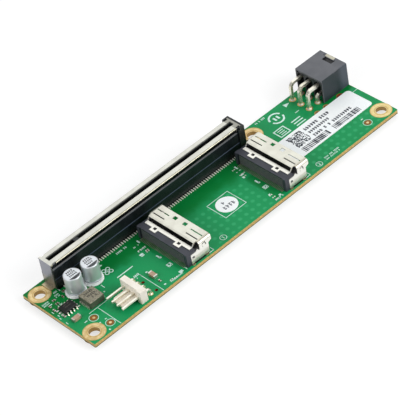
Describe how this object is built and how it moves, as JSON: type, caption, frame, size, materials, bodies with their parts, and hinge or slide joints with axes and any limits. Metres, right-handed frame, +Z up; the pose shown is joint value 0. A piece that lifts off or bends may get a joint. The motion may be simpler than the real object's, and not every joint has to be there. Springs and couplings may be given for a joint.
{
  "type": "cable to card slot riser board",
  "caption": "Narrow circuit board that joins two shielded cable sockets to a long card slot, with a power header and a fan header.",
  "frame": {"origin": "axis of the front left mounting hole at the board's underside", "axes": "+X along the board from the small parts to the power header, +Y from the front edge to the card slot, +Z up out of the board"},
  "size_m": [0.145, 0.0367, 0.0135],
  "materials": {
    "laminate": "green solder mask over glass laminate, satin",
    "gold_plating": "thin gold plate on copper, soft shine",
    "solder": "bright solder",
    "black_moulding": "black glass-filled moulding, satin",
    "slot_steel": "tin-plated spring steel, satin",
    "cage_steel": "tin-plated steel sheet, satin",
    "contact_metal": "plated copper alloy",
    "socket_moulding": "dark slate moulding, satin",
    "comb_moulding": "dark moulding",
    "power_moulding": "slate grey moulding, satin",
    "cream_moulding": "cream moulding, satin",
    "pin_metal": "tin-plated copper alloy",
    "can_aluminium": "drawn aluminium, satin",
    "base_moulding": "pale grey moulding",
    "choke_powder": "pressed metal powder, speckled",
    "chip_moulding": "black epoxy moulding",
    "large_ceramic": "tan ceramic, slight gloss",
    "small_ceramic": "brown ceramic",
    "end_metal": "tinned end caps",
    "label_paper": "printed white paper"
  },
  "bodies": {
    "root": {"alignment_dots": "gold_plating", "capacitor_1_base": "base_moulding", "capacitor_1_can": "can_aluminium", "capacitor_1_leads": "pin_metal", "capacitor_2_base": "base_moulding", "capacitor_2_can": "can_aluminium", "capacitor_2_leads": "pin_metal", "choke_body": "choke_powder", "choke_terminals": "pin_metal", "circuit_board": "laminate", "fan_header_housing": "cream_moulding", "fan_header_pins": "pin_metal", "large_chip_bodies": "large_ceramic", "large_chip_ends": "end_metal", "mounting_hole_plating": "gold_plating", "pin_hole_plating": "gold_plating", "power_housing": "power_moulding", "power_lower_pins": "pin_metal", "power_upper_pins": "pin_metal", "product_label": "label_paper", "regulator_body": "chip_moulding", "regulator_leads": "pin_metal", "round_sticker": "label_paper", "slot_contacts_far": "contact_metal", "slot_contacts_near": "contact_metal", "slot_housing": "black_moulding", "slot_shell": "slot_steel", "small_chip_bodies": "small_ceramic", "small_chip_ends": "end_metal", "socket_1_cage": "cage_steel", "socket_1_contact_comb": "comb_moulding", "socket_1_housing": "socket_moulding", "socket_1_lower_contacts": "contact_metal", "socket_1_upper_contacts": "contact_metal", "socket_2_cage": "cage_steel", "socket_2_contact_comb": "comb_moulding", "socket_2_housing": "socket_moulding", "socket_2_lower_contacts": "contact_metal", "socket_2_upper_contacts": "contact_metal", "solder_joints": "solder"}
  },
  "joints": []
}
